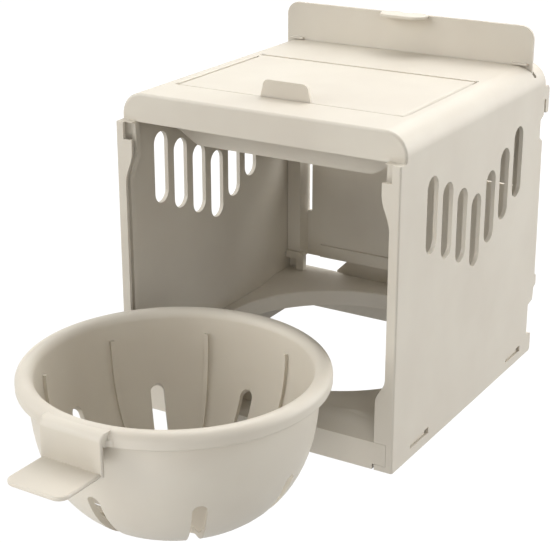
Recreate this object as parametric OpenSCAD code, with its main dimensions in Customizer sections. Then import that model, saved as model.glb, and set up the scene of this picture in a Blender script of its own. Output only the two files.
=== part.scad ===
// Nest box for small cage birds. A hood hangs outside the cage on two hooks. A floor tray and a
// rear frame clip into it, a shutter slides in front of the rear doorway, a lid opens in the roof,
// and a slotted nest bowl drops into the hole in the tray. Here the bowl is lifted out in front.
// X runs along the front, Y from the front to the rear, Z up.

/* [Hood] */
// Outer width of the hood
body_w = 120.8; // [116:0.2:140]
// Depth from the front flange to the rear edge
body_d = 135; // [132:1:160]
// Height from the lower edge to the roof
body_h = 128.4; // [126:0.2:150]
// Thickness of the side walls
wall = 1.7; // [1.4:0.1:2.2]
// Thickness of the roof
roof_t = 2.2; // [1.8:0.1:2.6]
// Outer radius between the roof and the side walls
roof_r = 9; // [7:0.5:11]
// Radius of the vertical front edges
edge_r = 0.8; // [0.5:0.1:2.5]

/* [Front flange and apron] */
// Thickness of the flange's front lip
front_t = 1.4; // [1:0.1:2]
// Width of the groove behind the lip, which takes a front panel
panel_gap = 1.8; // [1.2:0.1:2.2]
// Thickness of the rib behind the groove
back_t = 2.9; // [2.4:0.1:4]
// Width of the flange along its straight middle
rail_w = 3.9; // [3:0.1:5]
// Width of the flange at its foot
foot_w = 7.7; // [6:0.1:8]
// Width of the flange at its head
head_w = 7.2; // [6:0.1:8]
// Height of the apron under the front edge of the roof
apron_h = 11.2; // [9:0.1:14]
// How far the apron is set back from the flange
apron_set = 4.4; // [3:0.1:4.6]
// Thickness of the apron
apron_t = 2; // [1.6:0.1:2.4]
// Radius between the apron and the roof
apron_r = 1.2; // [0.8:0.1:3]
// Height of the stiffening rib under the roof, in front of the lid
rib_h = 20.3; // [14:0.1:24]
// Thickness of that rib
rib_t = 1.6; // [1.2:0.1:2]
// Distance of the rib's ends from the side walls
rib_in = 10.7; // [8:0.1:14]
// Width of the chamfers at the rib's lower corners
rib_cut_w = 10; // [6:0.5:14]
// Height of those chamfers
rib_cut_h = 5.8; // [4:0.1:8]

/* [Vents] */
// Number of vents in each side wall
vent_count = 7; // [3:2:7]
// Width of a vent
vent_w = 9.2; // [5:0.1:10]
// Length of a vent
vent_h = 29.5; // [16:0.5:34]
// Distance between two vents
vent_pitch = 13.4; // [11:0.1:14]
// How much higher each vent stands than the one nearer the middle
vent_step = 5.8; // [0:0.1:6]
// Height of the lower end of the middle vent
vent_z = 60.7; // [50:0.1:64]
// Distance of the middle vent from the front
vent_y = 66.8; // [64:0.1:70]

/* [Hooks] */
// Width of a hook
hook_w = 3; // [2.4:0.1:5]
// Gap that takes the cage wire
hook_gap = 1.7; // [1.3:0.1:2.2]
// Thickness of the hook's leg
hook_t = 3.2; // [2:0.1:4]
// Depth of the seat that rests on the cage wire below the roof
hook_drop = 15.4; // [14:0.2:20]
// Length of the leg below the seat
hook_leg = 6; // [4:0.5:8]
// Thickness of the hook above its seat
hook_rise = 5.6; // [4:0.1:6]

/* [Lid] */
// Width of the lid
lid_w = 97.8; // [80:0.2:100]
// Length of the lid, front to rear
lid_d = 63.6; // [50:0.2:66]
// Distance of the lid's front edge from the front of the box
lid_y = 24.4; // [24:0.1:27]
// Thickness of the lid
lid_t = 2; // [1.6:0.1:2.1]
// Gap around the lid
lid_gap = 0.5; // [0.4:0.05:0.8]
// Gap behind the lid's hinge edge
hinge_gap = 0.2; // [0.15:0.05:0.4]
// Corner radius of the lid's front corners
lid_r = 3; // [2:0.5:6]
// Radius of the lid's rounded side edges
lid_edge_r = 1.7; // [0.5:0.1:1.8]
// Width of the lid's finger tab
lid_tab_w = 21.6; // [14:0.2:30]
// Height of the finger tab above the lid
lid_tab_h = 6.6; // [4:0.1:9]
// Thickness of the finger tab
lid_tab_t = 1.3; // [1:0.1:2]
// Radius of the lid's rounded hinge edge
barrel_r = 2; // [1.9:0.05:2.2]
// Radius of the hinge trunnions
trunnion_r = 1.2; // [0.9:0.05:1.4]
// Length of a trunnion beyond the lid's side
trunnion_l = 2.6; // [2:0.1:3.2]

/* [Shutter] */
// Thickness of the shutter
door_t = 1.6; // [1.2:0.1:1.8]
// Height of the shutter
door_h = 67.1; // [62:0.1:70]
// Distance from the shutter's front face to the rear edge of the hood
door_set = 11.3; // [11:0.1:12]
// Height of the shutter above the roof when it is closed
door_rise = 16.3; // [12:0.1:20]
// Gap between the shutter and what it slides in
door_gap = 0.3; // [0.2:0.05:0.5]
// Gap between the shutter's side edges and the side walls
door_side = 1.1; // [0.8:0.1:1.6]
// How far the slot in the roof's skin runs past the shutter's side edges
slot_over = 1.6; // [0.4:0.1:1.8]
// Corner radius of the shutter's upper corners
door_r = 5.5; // [3:0.5:8]
// Width of the finger lip
lip_w = 21.2; // [14:0.2:30]
// Depth of the finger lip
lip_d = 6.7; // [4:0.1:9]
// Thickness of the finger lip
lip_t = 1.3; // [1:0.1:2]
// Radius of the finger lip's corners
lip_corner_r = 5; // [3:0.5:6]
// Width of a stop lug
lug_w = 6.7; // [5:0.1:10]
// Distance of a stop lug's outer end from the shutter's side edge
lug_in = 1.7; // [1:0.1:4]
// Height of a stop lug
lug_h = 0.9; // [0.7:0.1:2]

/* [Rear frame] */
// Width of a post
post_w = 6.8; // [6.4:0.1:8]
// Depth of the posts and the header, front to back
post_d = 7.7; // [6:0.1:7.8]
// Height of the header above the doorway
header_h = 11.2; // [9:0.1:14]
// Upper edge of the rear wall, which is the doorway's threshold
threshold_z = 74.2; // [60:0.2:76]
// Lower edge of the rear wall
rear_low_z = 24.6; // [23:0.1:26]
// Foot of the slits at the sides of the rear wall
slit_z = 46.4; // [36:0.2:56]
// Width of the slits
slit_w = 2.1; // [1.5:0.1:3]
// Height of the step along the wall's lower edge
step_h = 5.9; // [4:0.1:8]
// Distance of the step's ends from the frame's sides
step_in = 13.8; // [10:0.1:20]
// How far the plates at the posts' feet reach into the box
plate_in = 2.4; // [1.6:0.1:3]
// How far those plates stand out in front of the posts
plate_out = 1.2; // [0.8:0.1:1.6]
// Width of the recess in each plate
recess_w = 5.2; // [3:0.1:5.6]
// Height of the recess
recess_h = 5.2; // [3:0.1:6]

/* [Floor tray] */
// Height of the front sill
sill_h = 11.1; // [10.5:0.1:12]
// Height of the collar that carries the bowl
collar_z = 17.5; // [17:0.1:19]
// Thickness of the tray
tray_t = 1.8; // [1.4:0.1:2.2]
// Distance of the bowl's seat from the front
seat_y = 67; // [66.5:0.1:67.5]
// Clearance between the bowl's body and the collar
bowl_gap = 2.5; // [1:0.1:2.6]
// Clearance between the tray and the hood
tray_gap = 0.2; // [0.1:0.05:0.3]
// Height of a clip
clip_h = 1.8; // [1.4:0.1:2.6]
// Length of a clip
clip_l = 14; // [10:0.1:16]
// Height of the clips' undersides
clip_z = 3.9; // [3:0.1:5]
// How far the clips' ends stay inside the hood's outer face
clip_in = 1; // [0.4:0.1:1.2]
// Width of the tab behind the rear wall
back_tab_w = 73.6; // [60:0.2:90]
// Height of the chamfers at that tab's upper corners
back_tab_cut = 5.8; // [3:0.1:7]
// Thickness of that tab
back_tab_t = 1.4; // [1.2:0.1:2]

/* [Bowl] */
// Gap between the bowl's rim and the side walls when the bowl is in its seat
bowl_side = 3.5; // [3:0.1:6]
// Depth of the bowl below its rim
bowl_depth = 52.1; // [40:0.1:56]
// Wall of the bowl
bowl_t = 2; // [1.4:0.1:2.4]
// Width of the rim beyond the body
rim_w = 4.4; // [4:0.1:5]
// Height of the rim
rim_h = 6; // [5.4:0.1:7]
// Radius inside the rim
lip_r = 3.3; // [1:0.1:4]
// Number of slots and of fins
slot_count = 8; // [6:1:10]
// Width of a slot
slot_w = 5.2; // [3:0.1:6.5]
// Depth of the slots' upper ends below the rim
slot_top = 22.6; // [18:0.1:30]
// Distance of the slots' lower ends from the bowl's axis
slot_in = 19; // [12:0.5:30]
// Slope of the slots' ends, down and outwards, in degrees
slot_slope = 45; // [30:5:50]
// Thickness of a fin
fin_t = 1.6; // [1.2:0.1:2.4]
// How far a fin stands out from the wall
fin_d = 1.3; // [1:0.1:2]
// Angle by which the fins at the sides stand nearer to the rear, in degrees
fin_shift = 2.5; // [0:0.5:4]
// Width of the strap that drops from the rim
strap_w = 25.4; // [20:0.2:28]
// Thickness of the strap and its finger tab
strap_t = 1.7; // [1.6:0.1:2.2]
// Drop of the tab's upper face below the rim
strap_drop = 7.9; // [7.6:0.1:8.2]
// Length of the finger tab
tab_l = 19; // [14:0.5:24]
// How far the bowl is drawn out in front of its seat
bowl_out = 117.6; // [110:0.1:150]
// How far the bowl is lifted above its seat
bowl_lift = 26.8; // [20:0.1:40]
// Turn of the drawn-out bowl about its own axis, in degrees
bowl_turn = 1; // [0:0.1:2]

/* [Hidden] */
$fn = 64;
ivory = "#E4DDCF";
cut = 1; // overshoot of a cutting solid past the face that it opens

in_w = body_w - 2 * wall; // inside width of the hood
in_h = body_h - roof_t; // inside height of the hood
in_r = roof_r - wall; // inside radius of the roof's corners
apron_z = body_h - apron_h; // lower edge of the apron
flange_h = apron_z + 0.3; // top of the flange
panel_y = front_t + panel_gap; // rear face of the panel groove
flange_t = panel_y + back_t; // depth of the flange, front to back
rear_edge = body_d - 1.5; // rear edge of the side walls beside the hooks
hook_z = body_h - hook_drop; // height of the seat that rests on the cage wire
wire_y = rear_edge + hook_gap / 2; // middle of the cage wire in the hooks

hinge_y = lid_y + lid_d - barrel_r;
hinge_z = body_h - barrel_r;
hole_gap = 0.05; // running clearance around a trunnion

door_y = body_d - door_set; // front face of the shutter
door_w = in_w - 2 * door_side;
door_low = body_h + door_rise - door_h; // lower edge of the closed shutter
slot_front = door_y - door_gap;
slot_rear = door_y + door_t + door_gap;

frame_y = slot_rear - 0.1; // front face of the posts
frame_w = in_w - 2 * tray_gap;
foot_z = collar_z + 1.7; // underside of the frame's feet
header_z = in_h - header_h; // lower edge of the header

tray_w = in_w - 2 * tray_gap;
rim_r = in_w / 2 - bowl_side;
bowl_r = rim_r - rim_w; // bowl's body under the rim
collar_r = bowl_r + bowl_gap; // hole for the bowl
collar_out = collar_r + tray_t;
rim_edge_r = min(3, rim_w + bowl_t - lip_r - 0.1); // outer radius on top of the rim, beside the inner one
tab_notch_w = strap_w + 1.6; // notch in the sill for the strap and tab
tab_notch_z = collar_z - strap_drop - strap_t - 0.4;
clip_front = 15.3; // front end of the front clips
clip_rear = body_d - 28.2; // front end of the rear clips
clip_gap = 0.15; // clearance under and in front of a clip in its slot
clip_play = 0.7; // clearance above a clip
clip_run = 1.6; // clearance behind a clip
sill_w = body_w - 5.6; // width of the sill between the flanges
sill_low_w = body_w - 16.6; // width of the sill between the flanges' lower lips
lip_z = 2.2; // height of the flanges' lower lips

// Places a part drawn in box coordinates so that the hooks' seat is the origin.
module hung() {
  translate([0, -wire_y, -hook_z]) children();
}

// Extrudes an X-Z outline from y0 to y1.
module along_y(y0, y1) {
  translate([0, y1, 0]) rotate([90, 0, 0]) linear_extrude(y1 - y0) children();
}

// Extrudes a Y-Z outline from x0 to x1.
module along_x(x0, x1) {
  translate([x0, 0, 0]) rotate([90, 0, 90]) linear_extrude(x1 - x0) children();
}

module both_sides() {
  children();
  mirror([1, 0, 0]) children();
}

module box_between(a, b) {
  translate(a) cube(b - a);
}

// Upright rectangle, centred in X, with its two upper corners rounded.
module arch(w, z0, z1, r) {
  translate([-w / 2, z0]) square([w, z1 - z0 - r]);
  translate([-w / 2 + r, z0]) square([w - 2 * r, z1 - z0]);
  for (side = [-1, 1]) translate([side * (w / 2 - r), z1 - r]) circle(r);
}

// Upright slot with round ends.
module slot(w, h) {
  translate([-w / 2, w / 2]) square([w, h - w]);
  translate([0, w / 2]) circle(w / 2);
  translate([0, h - w / 2]) circle(w / 2);
}

// Tongue in the X-Y plane: its root lies on the X axis and its two far corners are round.
module tongue(w, d, r) {
  translate([-w / 2, -d + r]) square([w, d - r]);
  translate([-w / 2 + r, -d]) square([w - 2 * r, d]);
  for (side = [-1, 1]) translate([side * (w / 2 - r), -d + r]) circle(r);
}

// Points of a smooth bend between two places on an outline.
function bend(a, b, n = 6) =
  [for (i = [0:n]) [a[0] + (b[0] - a[0]) * (1 - cos(180 * i / n)) / 2, a[1] + (b[1] - a[1]) * i / n]];

// Points of an arc, from angle a0 to a1.
function arc(centre, r, a0, a1, n = 6) =
  [for (i = [0:n]) centre + r * [cos(a0 + (a1 - a0) * i / n), sin(a0 + (a1 - a0) * i / n)]];

// ---- Hood ----

// Right half of the front opening: foot, lower bend, straight rail, upper bend and head, up to a
// given height. In the lip, the pocket beside the apron lets a panel in from the front; elsewhere
// the head narrows a little towards its top.
module half_opening(top, pocket) {
  half = body_w / 2;
  foot_x = half - foot_w;
  rail_x = half - rail_w;
  head_x = half - head_w;
  pocket_x = half - 3.4;
  pocket_z = apron_z - 6.3;
  top_x = head_x + 0.9;
  head_z = apron_z - 10.8;
  polygon(concat(
    [[0, -cut], [sill_low_w / 2 + 0.8, -cut], [sill_low_w / 2 + 0.8, lip_z],
     [sill_w / 2 + 0.1, lip_z], [sill_w / 2 + 0.1, sill_h + 0.1], [foot_x, sill_h + 0.1]],
    bend([foot_x, sill_h + 16.5], [rail_x, sill_h + 25.8]),
    bend([rail_x, head_z - 13], [head_x, head_z]),
    pocket ? [[head_x, pocket_z], [pocket_x, pocket_z], [pocket_x, top], [0, top]] : [[top_x, top],
      [0, top]]));
}

module opening(top, pocket) {
  half_opening(top, pocket);
  mirror([1, 0]) half_opening(top, pocket);
}

// Side view of the hood, with the notches and nibs of its rear edge.
module side_outline() {
  low_notch = body_d - 5.6;
  high_notch = body_d - 4.7;
  nib = body_d + 1.8;
  polygon([[0, 0], [body_d - 1.5, 0], [body_d - 0.5, 1], [body_d - 0.5, 8], [low_notch, 9.5],
    [low_notch, 23], [body_d - 1, 24], [body_d - 0.3, 29.5], [nib, 30.5], [nib, 34.5],
    [body_d, 35.5], [rear_edge, hook_z - 17.6], [high_notch, hook_z - 15.5],
    [high_notch, hook_z - 8], [rear_edge, hook_z - 6.5], [rear_edge, body_h + cut],
    [apron_set, body_h + cut], [apron_set, flange_h], [0, flange_h]]);
}

// Flange block across the front, with its vertical edges rounded.
module flange_block() {
  linear_extrude(body_h) {
    translate([-body_w / 2, edge_r]) square([body_w, flange_t - edge_r]);
    translate([-body_w / 2 + edge_r, 0]) square([body_w - 2 * edge_r, flange_t]);
    for (side = [-1, 1]) translate([side * (body_w / 2 - edge_r), edge_r]) circle(edge_r);
  }
}

// Solid block of the hood behind the apron's face, with the apron's front edge rounded.
module hood_block() {
  r = apron_r;
  flat_x = body_w / 2 - roof_r;
  flat_z = body_h - roof_r;
  along_y(apron_set + r, body_d + 2) arch(body_w, 0, body_h, roof_r);
  along_y(apron_set, apron_set + 2 * r) arch(body_w - 2 * r, 0, body_h - r, roof_r - r);
  along_x(-flat_x, flat_x) translate([apron_set + r, body_h - r]) circle(r);
  for (side = [-1, 1]) {
    translate([side * (body_w / 2 - r), apron_set + r, 0]) cylinder(r = r, h = flat_z);
    translate([side * flat_x, apron_set + r, flat_z]) rotate([90, side > 0 ? 0 : -90, 0])
      rotate_extrude(angle = 90) translate([roof_r - r, 0]) circle(r);
  }
}

module vents() {
  middle = (vent_count - 1) / 2;
  for (i = [0:vent_count - 1])
    along_x(-body_w, body_w)
      translate([vent_y + (i - middle) * vent_pitch, vent_z + abs(i - middle) * vent_step])
        slot(vent_w, vent_h);
}

module clip_slots() {
  for (y = [clip_front, clip_rear])
    box_between([-body_w, y - clip_gap, clip_z - clip_gap],
      [body_w, y + clip_l + clip_run, clip_z + clip_h + clip_play]);
}

// Roof opening for the lid, with a shallow chamfer along each side.
module lid_opening() {
  w = lid_w + 2 * lid_gap;
  front = lid_y - lid_gap;
  rear = hinge_y + barrel_r + hinge_gap;
  chamfer_w = 0.5;
  chamfer_h = 0.3;
  box_between([-w / 2, front, in_h - cut], [w / 2, rear, body_h + cut]);
  both_sides()
    along_y(front + lid_r, rear + chamfer_w)
      polygon([[w / 2 - cut, body_h - chamfer_h], [w / 2, body_h - chamfer_h], [w / 2 + chamfer_w, body_h],
        [w / 2 + chamfer_w, body_h + cut], [w / 2 - cut, body_h + cut]]);
}

// Boss under the roof that carries one end of the lid's hinge.
module hinge_boss() {
  x0 = lid_w / 2 + lid_gap;
  box_between([x0, hinge_y - 3, hinge_z - 3],
    [x0 + trunnion_l + 1, hinge_y + barrel_r + hinge_gap + 1, body_h - 1]);
}

module hinge_bore() {
  along_x(lid_w / 2, lid_w / 2 + lid_gap + trunnion_l + 0.3)
    translate([hinge_y, hinge_z]) circle(trunnion_r + hole_gap);
}

// Rib under the roof in front of the lid, with chamfered lower corners.
module roof_rib() {
  top = in_h + 1;
  low = in_h - rib_h;
  end = in_w / 2 - rib_in;
  along_y(lid_y - lid_gap - rib_t, lid_y - lid_gap)
    polygon([[-end, top], [-end, low + rib_cut_h], [-end + rib_cut_w, low], [end - rib_cut_w, low],
      [end, low + rib_cut_h], [end, top]]);
}

// Hook that hangs over the cage wire, open downwards.
module hook() {
  root = rear_edge - 0.2;
  leg = rear_edge + hook_gap;
  back = leg + hook_t;
  top = hook_z + hook_rise;
  low = hook_z - hook_leg;
  along_x(body_w / 2 - hook_w, body_w / 2)
    polygon([[root, hook_z], [leg, hook_z], [leg, low + 0.8], [leg + 0.8, low], [back, low],
      [back, top - 1.5], [back - 1.5, top], [root, top]]);
}

module hood() {
  tab_w = lid_w - 24; // width of the ledge under the lid's front edge
  door_x = door_w / 2;
  color(ivory) hung() {
    difference() {
      intersection() {
        union() {
          hood_block();
          intersection() {
            flange_block();
            box_between([-body_w, 0, 0], [body_w, flange_t, flange_h]);
          }
        }
        along_x(-body_w, body_w) side_outline();
      }
      difference() {
        along_y(flange_t, body_d + 3) arch(in_w, -cut, in_h, in_r);
        box_between([-body_w, 0, apron_z], [body_w, apron_set + apron_t, body_h]);
        roof_rib();
        both_sides() hinge_boss();
        box_between([-tab_w / 2, lid_y - lid_gap - rib_t, in_h - 1.7],
          [tab_w / 2, lid_y + 1.6, body_h - lid_t - 0.1]);
      }
      along_y(-cut, front_t) opening(body_h + cut, true);
      along_y(front_t, panel_y)
        translate([-in_w / 2, sill_h + 0.1]) square([in_w, apron_z - sill_h - 0.1]);
      along_y(front_t - 0.1, apron_set) opening(body_h + cut, false);
      along_y(apron_set - 0.1, flange_t + cut) opening(apron_z, false);
      vents();
      clip_slots();
      difference() {
        lid_opening();
        box_between([-tab_w / 2, 0, in_h - 1.7], [tab_w / 2, lid_y + 1.6, body_h - lid_t - 0.1]);
      }
      both_sides() hinge_bore();
      box_between([-door_x - door_gap, slot_front, in_h - in_r],
        [door_x + door_gap, slot_rear, body_h + cut]);
      box_between([-door_x - slot_over, slot_front, in_h - in_r / 2],
        [door_x + slot_over, slot_rear, body_h + cut]);
    }
    both_sides() hook();
  }
}

// ---- Rear frame: two posts and a header around the doorway, and the wall below it ----

module rear_frame() {
  back = frame_y + post_d;
  wall_back = back + 1.5;
  half = frame_w / 2;
  plate_x = half - post_w - plate_in; // inner end of the plate at a post's foot
  plate_z = rear_low_z + 3.3; // top of that plate
  plate_r = 2;
  step_x = half - step_in;
  color(ivory) hung() {
    difference() {
      union() {
        difference() {
          along_y(frame_y, back) arch(frame_w, foot_z, in_h - tray_gap, in_r - tray_gap);
          along_y(frame_y - cut, back + cut)
            translate([-half + post_w, foot_z - cut]) square([2 * (half - post_w), header_z - foot_z + cut]);
          both_sides() box_between([0, frame_y + 1, foot_z - cut],
            [half - post_w + 1, back + cut, rear_low_z]);
        }
        along_y(back - 0.3, wall_back)
          translate([-half, rear_low_z]) square([frame_w, threshold_z - rear_low_z]);
        along_y(back - 1, back)
          translate([-step_x, rear_low_z]) square([2 * step_x, step_h]);
        both_sides() along_y(frame_y - plate_out, frame_y + 1.6) {
          translate([plate_x, foot_z]) square([half - plate_x, plate_z - foot_z - plate_r]);
          translate([plate_x + plate_r, foot_z]) square([half - plate_x - plate_r, plate_z - foot_z]);
          translate([plate_x + plate_r, plate_z - plate_r]) circle(plate_r);
        }
      }
      both_sides()
        box_between([half - post_w - slit_w, back - 2, slit_z], [half - post_w, wall_back + cut, body_h]);
      both_sides()
        box_between([half - recess_w, frame_y - plate_out - cut, foot_z - cut],
          [half + cut, frame_y + 2.5, foot_z + recess_h]);
    }
  }
}

// ---- Floor tray ----

// Side view of the tray: sill, front slope, floor and rear wall; inset gives the underside.
module tray_side(inset) {
  rear = body_d - 2.4;
  floor = collar_z - inset;
  slope = 9.5;
  polygon([[inset, inset > 0 ? -cut : 0], [inset, sill_h - inset / 2], [slope / 2, sill_h + 4 - inset],
    [slope, floor], [rear - inset, floor + (inset > 0 ? 0 : 2)], [rear - inset, inset > 0 ? -cut : 0]]);
}

// Floor seen from above, revolved about the bowl's axis: collar, shallow dish and raised corners.
module floor_dish() {
  translate([0, seat_y, 0]) rotate_extrude($fn = 96)
    polygon([[collar_r, collar_z - 7], [collar_r, collar_z - 0.4], [collar_r + 0.4, collar_z],
      [collar_out, collar_z],
      [collar_out + 2, collar_z - 0.7], [collar_out + 13, collar_z - 0.5], [collar_out + 20, collar_z + 1.3],
      [collar_out + 30, collar_z + 1.5], [body_d, collar_z + 1.5], [body_d, -cut], [collar_out, -cut],
      [collar_out, collar_z - 7]]);
}

// Rear wall of the strap's pocket, which carries the collar's wall on down to the pocket's floor.
module pocket_wall() {
  half = tab_notch_w / 2 + tray_t;
  top = collar_z - 6.5;
  intersection() {
    translate([0, seat_y, 0]) difference() {
      cylinder(r = collar_out, h = top);
      translate([0, 0, -cut]) cylinder(r = collar_r, h = body_h);
    }
    box_between([-half, 0, tab_notch_z - tray_t], [half, seat_y, top]);
  }
}

module floor_tray() {
  foot_x = body_w / 2 - foot_w - tray_gap;
  rear_y = frame_y + post_d;
  tab_y = rear_y + 1.6; // front face of the tab behind the rear wall
  tab_x = back_tab_w / 2;
  tab_z = rear_low_z - 0.2;
  color(ivory) hung() {
    difference() {
      intersection() {
        along_x(-tray_w / 2, tray_w / 2) tray_side(0);
        floor_dish();
      }
      difference() {
        along_x(-tray_w / 2 + tray_t, tray_w / 2 - tray_t) tray_side(tray_t);
        translate([0, seat_y, collar_z - 7]) cylinder(r = collar_out, h = 10);
        translate([-tab_notch_w / 2 - tray_t, 0, 0]) cube([tab_notch_w + 2 * tray_t,
          seat_y - collar_out + 4, body_h]);
      }
      both_sides() box_between([foot_x, -cut, sill_h], [body_w, flange_t + tray_gap, body_h]);
      both_sides() box_between([sill_w / 2, -cut, -cut], [body_w, flange_t + tray_gap, body_h]);
      both_sides() box_between([sill_low_w / 2, -cut, -cut], [body_w, flange_t + tray_gap, lip_z + 0.1]);
      difference() {
        box_between([-tab_notch_w / 2, -cut, tab_notch_z],
          [tab_notch_w / 2, seat_y - collar_out + 3, body_h]);
        translate([0, seat_y, 0]) cylinder(r = collar_out, h = body_h);
      }
      box_between([-tab_notch_w / 2, tray_t, -cut],
        [tab_notch_w / 2, seat_y - collar_out + 5, tab_notch_z - tray_t]);
    }
    pocket_wall();
    both_sides()
      for (y = [clip_front, clip_rear])
        box_between([tray_w / 2 - 1, y, clip_z], [body_w / 2 - clip_in, y + clip_l, clip_z + clip_h]);
    box_between([-tray_w / 2 + 4, body_d - 3.4, 0], [tray_w / 2 - 4, rear_y + 2, collar_z - 0.5]);
    along_y(tab_y, tab_y + back_tab_t)
      polygon([[-tab_x, collar_z / 2], [tab_x, collar_z / 2], [tab_x, tab_z - back_tab_cut],
        [tab_x - back_tab_cut, tab_z], [-tab_x + back_tab_cut, tab_z], [-tab_x, tab_z - back_tab_cut]]);
  }
}

// ---- Shutter ----

module shutter() {
  top = body_h + door_rise;
  color(ivory) hung() {
    along_y(door_y, door_y + door_t) arch(door_w, door_low, top, door_r);
    translate([0, door_y + 0.2, top - lip_t]) linear_extrude(lip_t) tongue(lip_w, lip_d + 0.2, lip_corner_r);
    both_sides()
      box_between([door_w / 2 - lug_in - lug_w, door_y - 1.4, body_h + 0.2],
        [door_w / 2 - lug_in, door_y + 0.5, body_h + 0.2 + lug_h]);
  }
}

// ---- Roof lid ----

// Finger tab: it narrows a little towards its two round corners.
module tab_outline(w, z0, z1, r) {
  draft = 1;
  top = w / 2 - draft;
  polygon([[-w / 2, z0], [w / 2, z0], [w / 2, z1 - lid_tab_h], [top, z1 - r], [top - r, z1],
    [-top + r, z1], [-top, z1 - r], [-w / 2, z1 - lid_tab_h]]);
  for (side = [-1, 1]) translate([side * (top - r), z1 - r]) circle(r);
}

module roof_lid() {
  low = body_h - lid_t;
  color(ivory) hung() {
    intersection() {
      translate([0, hinge_y, low]) linear_extrude(lid_t) tongue(lid_w, hinge_y - lid_y, lid_r);
      along_y(lid_y - cut, hinge_y + cut) arch(lid_w, low - cut, body_h, lid_edge_r);
    }
    along_x(-lid_w / 2, lid_w / 2) translate([hinge_y, hinge_z]) circle(barrel_r);
    along_x(-lid_w / 2 - lid_gap - trunnion_l, lid_w / 2 + lid_gap + trunnion_l)
      translate([hinge_y, hinge_z]) circle(trunnion_r);
    along_y(lid_y, lid_y + lid_tab_t) tab_outline(lid_tab_w, low, body_h + lid_tab_h, 2.5);
  }
}

// ---- Nest bowl, drawn with the underside of its rim at zero height ----

// Points of the bowl's wall from the rim down to the middle of the bottom.
function wall_curve(r, depth, n = 22) =
  [for (i = [0:n]) [r * pow(cos(90 * i / n), 0.69), -depth * pow(sin(90 * i / n), 0.85)]];

function upward(points) = [for (i = [len(points) - 1:-1:0]) points[i]];

module bowl_shell() {
  in_r0 = bowl_r - bowl_t;
  rotate_extrude($fn = 128)
    polygon(concat(
      wall_curve(bowl_r, bowl_depth),
      upward(wall_curve(in_r0, bowl_depth - bowl_t)),
      arc([in_r0 + lip_r, rim_h - lip_r], lip_r, 180, 90, 8),
      arc([rim_r - rim_edge_r, rim_h - rim_edge_r], rim_edge_r, 90, 0),
      arc([rim_r - 0.8, 0.8], 0.8, 0, -90, 3)));
}

// Slots that run from the side wall under the bowl. Each is cut along a line that slopes down and
// outwards, so its upper end is higher inside the bowl than outside.
module bowl_slots() {
  end_r = bowl_r - 4.6; // distance of the upper ends from the bowl's axis, inside
  slot_l = (end_r - slot_in) * sin(slot_slope) + (bowl_depth - bowl_t / 2 - slot_top) * cos(slot_slope);
  for (i = [0:slot_count - 1])
    rotate([0, 0, i * 360 / slot_count - 90])
      translate([end_r, 0, -slot_top]) rotate([0, slot_slope, 0])
        along_x(-12, 10) translate([0, -slot_l]) slot(slot_w, slot_l);
}

// Upright fins inside the wall, halfway between the slots.
module bowl_fins() {
  r = bowl_r - bowl_t;
  for (i = [0:slot_count - 1]) {
    turn = (i + 0.5) * 360 / slot_count;
    rotate([0, 0, turn - 90 + fin_shift * sin(turn)])
      intersection() {
        translate([0, -fin_t / 2, -bowl_depth + 6]) cube([bowl_r, fin_t, bowl_depth - 9]);
        rotate_extrude($fn = 128)
          difference() {
            polygon(concat([[0, 1]], [[r + 0.6, 1]], wall_curve(r + 0.6, bowl_depth - bowl_t + 0.6)));
            polygon(concat([[0, 2]],
              [[r - fin_d, 2]], wall_curve(r - fin_d, bowl_depth - bowl_t - fin_d / 2)));
          }
      }
  }
}

// Strap that drops from the front of the rim, and the finger tab at its foot.
module bowl_strap() {
  face = -rim_r - 2.2;
  fillet = 2;
  side = strap_w / 2 + fillet;
  fillet_y = -sqrt(pow(rim_r + fillet, 2) - side * side);
  low = -strap_drop - strap_t;
  r = rim_edge_r;
  difference() {
    union() {
      along_x(-strap_w / 2, strap_w / 2)
        polygon(concat([[face, low], [face + strap_t, low], [face + strap_t, 0.8], [-rim_r + 6, 0.8],
          [-rim_r + 6, rim_h - 0.3]], arc([face + r, rim_h - r - 0.3], r, 90, 180)));
      translate([0, 0, 0.8]) linear_extrude(rim_h - r - 0.8)
        difference() {
          translate([-side, fillet_y]) square([2 * side, 6]);
          for (s = [-1, 1]) translate([s * side, fillet_y]) circle(fillet);
          circle(rim_r - 2);
        }
    }
    cylinder(r = rim_r - 1.5, h = rim_h + cut);
  }
  translate([0, face + 0.5, low]) linear_extrude(strap_t) tongue(strap_w - 1.2, tab_l + 0.5, 4);
}

module nest_bowl() {
  color(ivory) hung() translate([0, seat_y - bowl_out, collar_z + bowl_lift]) rotate([0, 0, -bowl_turn]) {
    difference() {
      bowl_shell();
      bowl_slots();
    }
    bowl_fins();
    bowl_strap();
  }
}

hood();
rear_frame();
floor_tray();
shutter();
roof_lid();
nest_bowl();
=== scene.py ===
"""Nest box for small cage birds, dressed for the studio: a hood that hangs on the cage wire, with its
rear frame, floor tray, shutter and roof lid, and the nest bowl lifted out in front."""

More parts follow.
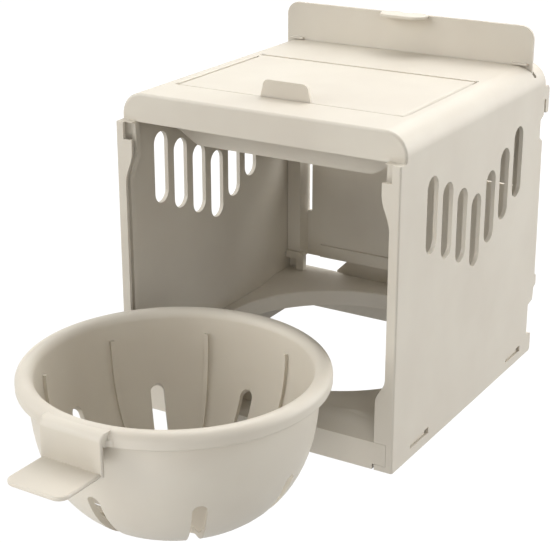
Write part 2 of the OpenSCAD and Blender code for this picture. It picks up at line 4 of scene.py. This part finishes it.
import bmesh
import bpy
import numpy as np
from mathutils import Euler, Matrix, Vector


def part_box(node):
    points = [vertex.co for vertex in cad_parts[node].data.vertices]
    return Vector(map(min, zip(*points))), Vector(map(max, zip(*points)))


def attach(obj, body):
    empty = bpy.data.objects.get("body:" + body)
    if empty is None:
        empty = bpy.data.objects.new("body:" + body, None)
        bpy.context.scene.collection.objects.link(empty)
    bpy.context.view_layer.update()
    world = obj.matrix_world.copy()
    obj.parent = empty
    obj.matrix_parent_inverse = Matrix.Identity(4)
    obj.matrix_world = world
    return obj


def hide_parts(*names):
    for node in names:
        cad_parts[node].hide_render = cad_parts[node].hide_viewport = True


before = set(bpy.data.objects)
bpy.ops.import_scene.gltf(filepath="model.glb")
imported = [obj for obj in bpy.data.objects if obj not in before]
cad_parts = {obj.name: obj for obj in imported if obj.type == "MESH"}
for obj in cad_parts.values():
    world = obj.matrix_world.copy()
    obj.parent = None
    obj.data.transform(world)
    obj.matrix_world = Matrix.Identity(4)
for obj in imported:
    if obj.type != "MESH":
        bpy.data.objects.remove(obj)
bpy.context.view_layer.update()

# ---- Camera ----
# A long lens looks down on the open front from the right, as in a catalogue picture. Its place is set
# from the middle of the hood's lower front edge, in metres.

hood_low, hood_high = (np.array(corner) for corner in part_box("hood"))
front_foot = np.array([0.0, hood_low[1], hood_low[2]])
from_front_foot = np.array([0.2691, -0.4295, 0.2576])
look_round, look_down = np.radians(31.07), np.radians(20.5)
lens = bpy.data.cameras.new("catalogue_lens")
lens.sensor_width = 36.0
lens.lens = 95.3
camera = bpy.data.objects.new("catalogue_camera", lens)
camera.location = front_foot + from_front_foot
camera.rotation_euler = Euler((np.pi / 2 - look_down, 0.0, look_round))
bpy.context.scene.collection.objects.link(camera)
bpy.context.scene.camera = camera

# ---- Hood ----
# One thin-walled polypropylene moulding: roof, two vented sides, the front flange with its panel
# groove, and the two hooks. Everything else clips, slides or turns in it. The mould leaves every edge
# a little round and a fine spark-eroded grain on the faces.

MM = 0.001
SHARP = np.radians(30)  # edges that bend by more than this are rounded


def linear(hex_colour):
    """Linear RGBA of an sRGB hex colour."""
    srgb = np.array([int(hex_colour[i:i + 2], 16) for i in (1, 3, 5)]) / 255.0
    rgb = np.where(srgb <= 0.04045, srgb / 12.92, ((srgb + 0.055) / 1.055) ** 2.4)
    return (*rgb, 1.0)


def add_node(tree, kind, inputs, **settings):
    """Adds one node, with its settings, and fills its inputs from values or from other nodes' outputs."""
    added = tree.nodes.new(kind)
    for name, value in settings.items():
        setattr(added, name, value)
    for socket, value in inputs.items():
        if isinstance(value, bpy.types.NodeSocket):
            tree.links.new(value, added.inputs[socket])
        else:
            added.inputs[socket].default_value = value
    return added


def moulded_polypropylene(name, pale, deep, roughness):
    """Ivory polypropylene, injection moulded and unpainted: opaque, satin, faintly translucent at thin
    edges. The pigment drifts between a pale and a deep tone over about 35 mm, along the way the melt
    flowed. The faces sink and rise a few hundredths of a millimetre over about 8 mm, and carry a
    spark-eroded grain of about 0.1 mm, drawn at 0.45 mm because the real one is too fine to show."""
    material = bpy.data.materials.new(name)
    material.use_nodes = True
    tree = material.node_tree
    surface = tree.nodes["Principled BSDF"]
    place = add_node(tree, "ShaderNodeTexCoord", {}).outputs["Object"]

    melt = add_node(tree, "ShaderNodeTexNoise", {"Vector": place, "Scale": 1 / (35 * MM), "Detail": 3.0})
    drift = add_node(tree, "ShaderNodeMapRange", {"Value": melt.outputs[0],
                                                  "From Min": 0.35, "From Max": 0.65})
    pigment = add_node(tree, "ShaderNodeMix", {0: drift.outputs[0], 6: linear(pale), 7: linear(deep)},
                       data_type="RGBA")
    tree.links.new(pigment.outputs[2], surface.inputs["Base Color"])

    grain = add_node(tree, "ShaderNodeTexNoise", {"Vector": place, "Scale": 1 / (0.45 * MM), "Detail": 2.0})
    sheen = add_node(tree, "ShaderNodeMapRange", {"Value": grain.outputs[0], "From Min": 0.3, "From Max": 0.7,
                                                  "To Min": roughness - 0.05, "To Max": roughness + 0.05})
    tree.links.new(sheen.outputs[0], surface.inputs["Roughness"])

    sink = add_node(tree, "ShaderNodeTexNoise", {"Vector": place, "Scale": 1 / (8 * MM), "Detail": 1.0})
    waves = add_node(tree, "ShaderNodeBump", {"Height": sink.outputs[0],
                                              "Strength": 0.3, "Distance": 0.12 * MM})
    texture = add_node(tree, "ShaderNodeBump", {"Height": grain.outputs[0], "Normal": waves.outputs[0],
                                                "Strength": 0.25, "Distance": 0.03 * MM})
    tree.links.new(texture.outputs[0], surface.inputs["Normal"])

    surface.inputs["IOR"].default_value = 1.49
    surface.inputs["Subsurface Weight"].default_value = 0.08
    surface.inputs["Subsurface Radius"].default_value = (1.0, 0.8, 0.6)
    surface.inputs["Subsurface Scale"].default_value = 1.2 * MM
    return material


def from_the_mould(node_name, body, material, edge):
    """The solid as it leaves its mould. The CAD node's loose triangles are copied and merged, its flat
    faces are joined, and every edge sharper than 30 degrees is rounded to the given radius in metres.
    The copy rides on the body and stands for the node."""
    shape = bmesh.new()
    shape.from_mesh(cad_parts[node_name].data)
    bmesh.ops.remove_doubles(shape, verts=shape.verts, dist=0.002 * MM)
    bmesh.ops.dissolve_limit(shape, angle_limit=np.radians(0.3), verts=shape.verts, edges=shape.edges)
    for face in shape.faces:
        face.smooth = True
    moulding = bpy.data.meshes.new(node_name + "_moulding")
    shape.to_mesh(moulding)
    shape.free()
    moulding.materials.append(material)
    piece = bpy.data.objects.new(node_name + "_moulding", moulding)
    bpy.context.scene.collection.objects.link(piece)
    rounding = piece.modifiers.new("mould_radius", "BEVEL")
    rounding.width = edge
    rounding.segments = 3
    rounding.limit_method = "ANGLE"
    rounding.angle_limit = SHARP
    rounding.use_clamp_overlap = True
    shading = piece.modifiers.new("even_shading", "WEIGHTED_NORMAL")
    shading.keep_sharp = True
    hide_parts(node_name)
    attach(piece, body)
    return piece


ivory = moulded_polypropylene("ivory_moulded_polypropylene", "#CFC8BA", "#CAC2B4", 0.5)
hood = from_the_mould("hood", "box", ivory, 0.3 * MM)

# ---- Rear frame ----
# Two posts and a header around the doorway, and the wall below it, in the same polypropylene. It is
# pushed up into the hood from below and stands on the tray; its feet keep their small plates.

rear_frame = from_the_mould("rear_frame", "box", ivory, 0.25 * MM)

# ---- Floor tray ----
# The floor with the collar that carries the bowl, and the front sill, in the same polypropylene. Four
# clips snap into the slots of the side walls.

floor_tray = from_the_mould("floor_tray", "box", ivory, 0.3 * MM)

# ---- Shutter ----
# A flat polypropylene plate that drops through the slot in the roof and closes the rear doorway. It is
# lifted by the lip on its upper edge, and two lugs stop it on the roof.

shutter = from_the_mould("shutter", "shutter", ivory, 0.3 * MM)

# ---- Roof lid ----
# A polypropylene flap with rounded side edges, which turns on two moulded trunnions under the roof. A
# thin tab on its front edge opens it.

roof_lid = from_the_mould("roof_lid", "lid", ivory, 0.3 * MM)

# ---- Nest bowl ----
# A deep slotted polypropylene bowl with a heavy rolled rim, eight fins inside that grip the nest, and
# a strap with a finger tab. It hangs by its rim in the tray's collar; here it is lifted out.

nest_bowl = from_the_mould("nest_bowl", "bowl", ivory, 0.3 * MM)

# The strap and the tab are rounded over nearly their whole thickness, kind to the finger.
tab_and_strap_depth = 21.25 * MM  # from the tab's front end to just behind the strap
finger_radius = 0.75 * MM
strap_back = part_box("nest_bowl")[0][1] + tab_and_strap_depth
shape = bmesh.new()
shape.from_mesh(nest_bowl.data)
weight = shape.edges.layers.float.new("bevel_weight_edge")
for line in shape.edges:
    in_front = max(corner.co.y for corner in line.verts) < strap_back
    if in_front and line.is_convex and line.calc_face_angle(0.0) > SHARP:
        line[weight] = 1.0
shape.to_mesh(nest_bowl.data)
shape.free()
full_round = nest_bowl.modifiers.new("full_round", "BEVEL")
full_round.width = finger_radius
full_round.segments = 4
full_round.limit_method = "WEIGHT"
full_round.use_clamp_overlap = False
nest_bowl.modifiers.move(2, 0)

# ---- Floor ----
# A plain sheet of paper under the hanging box, grey as it takes the light. It keeps the object's soft
# shadow near the box; a painted white glow on it, seen by the camera and in reflections, rises from
# dimmer near the box to full white away from it. What it gives back to the object is dimmer than what
# the camera sees, so that the box's inside stays dark.

floor_drop = 0.25


def background_ray(tree):
    """1 for the rays that see the background as a picture: from the camera, mirrored, or let through."""
    ray = add_node(tree, "ShaderNodeLightPath", {})
    found = ray.outputs["Is Camera Ray"]
    for kind in ("Is Glossy Ray", "Is Transmission Ray"):
        either = add_node(tree, "ShaderNodeMath", {0: found, 1: ray.outputs[kind]}, operation="MAXIMUM")
        found = either.outputs[0]
    return found


corners = np.array([[-3, -3, 0], [3, -3, 0], [3, 5, 0], [-3, 5, 0]], float)
corners[:, 2] = hood_low[2] - floor_drop
sheet = bpy.data.meshes.new("studio_floor")
sheet.from_pydata(corners.tolist(), [], [(0, 1, 2, 3)])
floor = bpy.data.objects.new("studio_floor", sheet)
bpy.context.scene.collection.objects.link(floor)
paper = bpy.data.materials.new("grey_paper_with_painted_glow")
paper.use_nodes = True
tree = paper.node_tree
tree.nodes.remove(tree.nodes["Principled BSDF"])
place = add_node(tree, "ShaderNodeTexCoord", {}).outputs["Object"]
away = add_node(tree, "ShaderNodeVectorMath", {0: place}, operation="LENGTH").outputs["Value"]
# painted glow: the white laid on the paper for the camera runs from 0.8 near the box to 1.0 away from it
painted_glow_fade = add_node(tree, "ShaderNodeMapRange", {"Value": away, "From Min": 0.5, "From Max": 1.6,
                                             "To Min": 0.8, "To Max": 1.0})
lit = add_node(tree, "ShaderNodeBsdfDiffuse", {"Color": linear("#737373")})
glow = add_node(tree, "ShaderNodeEmission", {"Color": linear("#FFFFFF"), "Strength": painted_glow_fade.outputs[0]})
seen = add_node(tree, "ShaderNodeAddShader", {0: lit.outputs[0], 1: glow.outputs[0]})
bounce = add_node(tree, "ShaderNodeBsdfDiffuse", {"Color": linear("#505050")})
pick = add_node(tree, "ShaderNodeMixShader", {0: background_ray(tree), 1: bounce.outputs[0],
                                              2: seen.outputs[0]})
tree.links.new(pick.outputs[0], tree.nodes["Material Output"].inputs[0])
sheet.materials.append(paper)

# ---- Light ----
# Six large softboxes stand round the hanging box and over it, and a small one low in front. Each place
# is given by the angle round from the front, to the right, and the angle up, from the middle of the
# hood. The surround is white where it is seen and reflected, and weak as a light.

hood_middle = Vector((hood_low + hood_high) / 2)


def softbox(name, round_angle, up_angle, watts, distance=1.6, size=1.1):
    """A square studio lamp that faces the middle of the hood. Angles in degrees, lengths in metres."""
    turn, rise = np.radians(round_angle), np.radians(up_angle)
    towards = Vector((np.sin(turn) * np.cos(rise), -np.cos(turn) * np.cos(rise), np.sin(rise)))
    lamp = bpy.data.lights.new(name, "AREA")
    lamp.shape = "SQUARE"
    lamp.size = size
    lamp.energy = watts
    stand = bpy.data.objects.new(name, lamp)
    stand.location = hood_middle + distance * towards
    stand.rotation_euler = towards.to_track_quat("Z", "Y").to_euler()
    bpy.context.scene.collection.objects.link(stand)


softbox("right_softbox", 130, 17, 22.5)
softbox("left_softbox", 315, 20, 18.0)
softbox("rear_softbox", 180, 45, 9.0)
softbox("high_rear_softbox", 180, 66, 13.5)
softbox("high_left_softbox", 270, 60, 8.0)
softbox("front_softbox", 45, 15, 7.5)
softbox("low_front_softbox", 5, -22, 0.8, distance=0.5, size=0.3)

world = bpy.data.worlds.new("studio")
bpy.context.scene.world = world
world.use_nodes = True
tree = world.node_tree
tree.nodes.clear()
surround = add_node(tree, "ShaderNodeBackground", {"Color": linear("#FFFFFF"), "Strength": 0.08})
seen = add_node(tree, "ShaderNodeBackground", {"Color": linear("#FFFFFF"), "Strength": 1.0})
mix = add_node(tree, "ShaderNodeMixShader", {0: background_ray(tree), 1: surround.outputs[0],
                                             2: seen.outputs[0]})
add_node(tree, "ShaderNodeOutputWorld", {0: mix.outputs[0]})

bpy.context.scene.view_settings.view_transform = "Standard"
